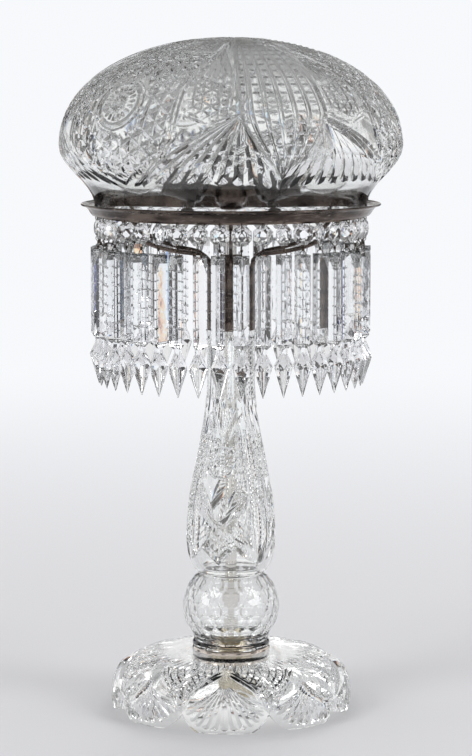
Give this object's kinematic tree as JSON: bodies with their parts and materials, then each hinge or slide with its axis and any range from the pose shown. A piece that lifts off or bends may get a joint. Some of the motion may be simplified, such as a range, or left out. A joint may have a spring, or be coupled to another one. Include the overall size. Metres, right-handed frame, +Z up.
{
  "type": "mushroom lamp",
  "caption": "Cut glass mushroom table lamp: domed shade on a metal ring hung with glass drops, on a hollow cut standard and a lobed glass base.",
  "frame": {"origin": "on the table under the lamp's axis", "axes": "+Z up along the lamp's axis, -Y towards the front, +X to the right"},
  "size_m": [0.304, 0.304, 0.6005],
  "materials": {
    "cut_glass": "deeply cut and polished lead glass",
    "drop_glass": "faceted and polished lead glass",
    "bulb_glass": "thin clear glass",
    "dark_bronze": "aged dark bronze, rubbed brown on its edges",
    "nickel": "polished nickel plate",
    "brass": "satin brass",
    "silvered_plate": "polished silver plate, slightly worn and warm",
    "insulator": "dull ivory insulating bush",
    "drop_wire": "tarnished wire pins"
  },
  "bodies": {
    "stand": {"gallery_ring": "dark_bronze", "prism_rail": "dark_bronze", "ring_arms": "dark_bronze", "neck_collar": "dark_bronze", "standard_glass": "cut_glass", "foot_collar": "silvered_plate", "base_glass": "cut_glass", "base_washers": "brass", "base_locknuts": "brass", "cord_bush": "insulator", "centre_pipe": "nickel", "pipe_couplings": "nickel", "cluster_body": "dark_bronze", "lamp_holder_left": "dark_bronze", "lamp_holder_right": "dark_bronze", "bulb_left": "bulb_glass", "bulb_right": "bulb_glass"},
    "shade": {"shade_glass": "cut_glass"},
    "key_left": {"switch_key_left": "dark_bronze"},
    "key_right": {"switch_key_right": "dark_bronze"},
    "drop_01": {"drop_01": "drop_glass"},
    "drop_02": {"drop_02": "drop_glass"},
    "drop_03": {"drop_03": "drop_glass"},
    "drop_04": {"drop_04": "drop_glass"},
    "drop_05": {"drop_05": "drop_glass"},
    "drop_06": {"drop_06": "drop_glass"},
    "drop_07": {"drop_07": "drop_glass"},
    "drop_08": {"drop_08": "drop_glass"},
    "drop_09": {"drop_09": "drop_glass"},
    "drop_10": {"drop_10": "drop_glass"},
    "drop_11": {"drop_11": "drop_glass"},
    "drop_12": {"drop_12": "drop_glass"},
    "drop_13": {"drop_13": "drop_glass"},
    "drop_14": {"drop_14": "drop_glass"},
    "drop_15": {"drop_15": "drop_glass"},
    "drop_16": {"drop_16": "drop_glass"},
    "drop_17": {"drop_17": "drop_glass"},
    "drop_18": {"drop_18": "drop_glass"},
    "drop_19": {"drop_19": "drop_glass"},
    "drop_20": {"drop_20": "drop_glass"},
    "drop_21": {"drop_21": "drop_glass"},
    "drop_22": {"drop_22": "drop_glass"},
    "drop_23": {"drop_23": "drop_glass"},
    "drop_24": {"drop_24": "drop_glass"},
    "drop_25": {"drop_25": "drop_glass"},
    "drop_26": {"drop_26": "drop_glass"},
    "drop_27": {"drop_27": "drop_glass"},
    "drop_28": {"drop_28": "drop_glass"},
    "drop_29": {"drop_29": "drop_glass"},
    "drop_30": {"drop_30": "drop_glass"},
    "drop_31": {"drop_31": "drop_glass"},
    "drop_32": {"drop_32": "drop_glass"},
    "drop_33": {"drop_33": "drop_glass"},
    "drop_34": {"drop_34": "drop_glass"},
    "drop_35": {"drop_35": "drop_glass"},
    "drop_36": {"drop_36": "drop_glass"},
    "drop_37": {"drop_37": "drop_glass"},
    "drop_38": {"drop_38": "drop_glass"},
    "drop_39": {"drop_39": "drop_glass"},
    "drop_40": {"drop_40": "drop_glass"}
  },
  "joints": [
    {"name": "shade_lift", "type": "slide", "parent": "stand", "child": "shade", "axis": [0, 0, 1], "range_m": [0, 0.16]},
    {"name": "key_left_turn", "type": "hinge", "parent": "stand", "child": "key_left", "pos_m": [-0.03076, 0, 0.47082], "axis": [-0.2756, 0, -0.9613], "continuous": true},
    {"name": "key_right_turn", "type": "hinge", "parent": "stand", "child": "key_right", "pos_m": [0.03076, 0, 0.47082], "axis": [0.2756, 0, -0.9613], "continuous": true},
    {"name": "drop_01_swing", "type": "hinge", "parent": "stand", "child": "drop_01", "pos_m": [0.00922, -0.11714, 0.4422], "axis": [-0.9969, -0.0785, 0], "range_deg": [-2.5, 40]},
    {"name": "drop_02_swing", "type": "hinge", "parent": "stand", "child": "drop_02", "pos_m": [0.02743, -0.11425, 0.4422], "axis": [-0.9724, -0.2334, 0], "range_deg": [-2.5, 40]},
    {"name": "drop_03_swing", "type": "hinge", "parent": "stand", "child": "drop_03", "pos_m": [0.04496, -0.10856, 0.4422], "axis": [-0.9239, -0.3827, 0], "range_deg": [-2.5, 40]},
    {"name": "drop_04_swing", "type": "hinge", "parent": "stand", "child": "drop_04", "pos_m": [0.06139, -0.10018, 0.4422], "axis": [-0.8526, -0.5225, 0], "range_deg": [-2.5, 40]},
    {"name": "drop_05_swing", "type": "hinge", "parent": "stand", "child": "drop_05", "pos_m": [0.07631, -0.08935, 0.4422], "axis": [-0.7604, -0.6494, 0], "range_deg": [-2.5, 40]},
    {"name": "drop_06_swing", "type": "hinge", "parent": "stand", "child": "drop_06", "pos_m": [0.08935, -0.07631, 0.4422], "axis": [-0.6494, -0.7604, 0], "range_deg": [-2.5, 40]},
    {"name": "drop_07_swing", "type": "hinge", "parent": "stand", "child": "drop_07", "pos_m": [0.10018, -0.06139, 0.4422], "axis": [-0.5225, -0.8526, 0], "range_deg": [-2.5, 40]},
    {"name": "drop_08_swing", "type": "hinge", "parent": "stand", "child": "drop_08", "pos_m": [0.10856, -0.04496, 0.4422], "axis": [-0.3827, -0.9239, 0], "range_deg": [-2.5, 40]},
    {"name": "drop_09_swing", "type": "hinge", "parent": "stand", "child": "drop_09", "pos_m": [0.11425, -0.02743, 0.4422], "axis": [-0.2334, -0.9724, 0], "range_deg": [-2.5, 40]},
    {"name": "drop_10_swing", "type": "hinge", "parent": "stand", "child": "drop_10", "pos_m": [0.11714, -0.00922, 0.4422], "axis": [-0.0785, -0.9969, 0], "range_deg": [-2.5, 40]},
    {"name": "drop_11_swing", "type": "hinge", "parent": "stand", "child": "drop_11", "pos_m": [0.11714, 0.00922, 0.4422], "axis": [0.0785, -0.9969, 0], "range_deg": [-2.5, 40]},
    {"name": "drop_12_swing", "type": "hinge", "parent": "stand", "child": "drop_12", "pos_m": [0.11425, 0.02743, 0.4422], "axis": [0.2334, -0.9724, 0], "range_deg": [-2.5, 40]},
    {"name": "drop_13_swing", "type": "hinge", "parent": "stand", "child": "drop_13", "pos_m": [0.10856, 0.04496, 0.4422], "axis": [0.3827, -0.9239, 0], "range_deg": [-2.5, 40]},
    {"name": "drop_14_swing", "type": "hinge", "parent": "stand", "child": "drop_14", "pos_m": [0.10018, 0.06139, 0.4422], "axis": [0.5225, -0.8526, 0], "range_deg": [-2.5, 40]},
    {"name": "drop_15_swing", "type": "hinge", "parent": "stand", "child": "drop_15", "pos_m": [0.08935, 0.07631, 0.4422], "axis": [0.6494, -0.7604, 0], "range_deg": [-2.5, 40]},
    {"name": "drop_16_swing", "type": "hinge", "parent": "stand", "child": "drop_16", "pos_m": [0.07631, 0.08935, 0.4422], "axis": [0.7604, -0.6494, 0], "range_deg": [-2.5, 40]},
    {"name": "drop_17_swing", "type": "hinge", "parent": "stand", "child": "drop_17", "pos_m": [0.06139, 0.10018, 0.4422], "axis": [0.8526, -0.5225, 0], "range_deg": [-2.5, 40]},
    {"name": "drop_18_swing", "type": "hinge", "parent": "stand", "child": "drop_18", "pos_m": [0.04496, 0.10856, 0.4422], "axis": [0.9239, -0.3827, 0], "range_deg": [-2.5, 40]},
    {"name": "drop_19_swing", "type": "hinge", "parent": "stand", "child": "drop_19", "pos_m": [0.02743, 0.11425, 0.4422], "axis": [0.9724, -0.2334, 0], "range_deg": [-2.5, 40]},
    {"name": "drop_20_swing", "type": "hinge", "parent": "stand", "child": "drop_20", "pos_m": [0.00922, 0.11714, 0.4422], "axis": [0.9969, -0.0785, 0], "range_deg": [-2.5, 40]},
    {"name": "drop_21_swing", "type": "hinge", "parent": "stand", "child": "drop_21", "pos_m": [-0.00922, 0.11714, 0.4422], "axis": [0.9969, 0.0785, 0], "range_deg": [-2.5, 40]},
    {"name": "drop_22_swing", "type": "hinge", "parent": "stand", "child": "drop_22", "pos_m": [-0.02743, 0.11425, 0.4422], "axis": [0.9724, 0.2334, 0], "range_deg": [-2.5, 40]},
    {"name": "drop_23_swing", "type": "hinge", "parent": "stand", "child": "drop_23", "pos_m": [-0.04496, 0.10856, 0.4422], "axis": [0.9239, 0.3827, 0], "range_deg": [-2.5, 40]},
    {"name": "drop_24_swing", "type": "hinge", "parent": "stand", "child": "drop_24", "pos_m": [-0.06139, 0.10018, 0.4422], "axis": [0.8526, 0.5225, 0], "range_deg": [-2.5, 40]},
    {"name": "drop_25_swing", "type": "hinge", "parent": "stand", "child": "drop_25", "pos_m": [-0.07631, 0.08935, 0.4422], "axis": [0.7604, 0.6494, 0], "range_deg": [-2.5, 40]},
    {"name": "drop_26_swing", "type": "hinge", "parent": "stand", "child": "drop_26", "pos_m": [-0.08935, 0.07631, 0.4422], "axis": [0.6494, 0.7604, 0], "range_deg": [-2.5, 40]},
    {"name": "drop_27_swing", "type": "hinge", "parent": "stand", "child": "drop_27", "pos_m": [-0.10018, 0.06139, 0.4422], "axis": [0.5225, 0.8526, 0], "range_deg": [-2.5, 40]},
    {"name": "drop_28_swing", "type": "hinge", "parent": "stand", "child": "drop_28", "pos_m": [-0.10856, 0.04496, 0.4422], "axis": [0.3827, 0.9239, 0], "range_deg": [-2.5, 40]},
    {"name": "drop_29_swing", "type": "hinge", "parent": "stand", "child": "drop_29", "pos_m": [-0.11425, 0.02743, 0.4422], "axis": [0.2334, 0.9724, 0], "range_deg": [-2.5, 40]},
    {"name": "drop_30_swing", "type": "hinge", "parent": "stand", "child": "drop_30", "pos_m": [-0.11714, 0.00922, 0.4422], "axis": [0.0785, 0.9969, 0], "range_deg": [-2.5, 40]},
    {"name": "drop_31_swing", "type": "hinge", "parent": "stand", "child": "drop_31", "pos_m": [-0.11714, -0.00922, 0.4422], "axis": [-0.0785, 0.9969, 0], "range_deg": [-2.5, 40]},
    {"name": "drop_32_swing", "type": "hinge", "parent": "stand", "child": "drop_32", "pos_m": [-0.11425, -0.02743, 0.4422], "axis": [-0.2334, 0.9724, 0], "range_deg": [-2.5, 40]},
    {"name": "drop_33_swing", "type": "hinge", "parent": "stand", "child": "drop_33", "pos_m": [-0.10856, -0.04496, 0.4422], "axis": [-0.3827, 0.9239, 0], "range_deg": [-2.5, 40]},
    {"name": "drop_34_swing", "type": "hinge", "parent": "stand", "child": "drop_34", "pos_m": [-0.10018, -0.06139, 0.4422], "axis": [-0.5225, 0.8526, 0], "range_deg": [-2.5, 40]},
    {"name": "drop_35_swing", "type": "hinge", "parent": "stand", "child": "drop_35", "pos_m": [-0.08935, -0.07631, 0.4422], "axis": [-0.6494, 0.7604, 0], "range_deg": [-2.5, 40]},
    {"name": "drop_36_swing", "type": "hinge", "parent": "stand", "child": "drop_36", "pos_m": [-0.07631, -0.08935, 0.4422], "axis": [-0.7604, 0.6494, 0], "range_deg": [-2.5, 40]},
    {"name": "drop_37_swing", "type": "hinge", "parent": "stand", "child": "drop_37", "pos_m": [-0.06139, -0.10018, 0.4422], "axis": [-0.8526, 0.5225, 0], "range_deg": [-2.5, 40]},
    {"name": "drop_38_swing", "type": "hinge", "parent": "stand", "child": "drop_38", "pos_m": [-0.04496, -0.10856, 0.4422], "axis": [-0.9239, 0.3827, 0], "range_deg": [-2.5, 40]},
    {"name": "drop_39_swing", "type": "hinge", "parent": "stand", "child": "drop_39", "pos_m": [-0.02743, -0.11425, 0.4422], "axis": [-0.9724, 0.2334, 0], "range_deg": [-2.5, 40]},
    {"name": "drop_40_swing", "type": "hinge", "parent": "stand", "child": "drop_40", "pos_m": [-0.00922, -0.11714, 0.4422], "axis": [-0.9969, 0.0785, 0], "range_deg": [-2.5, 40]}
  ]
}
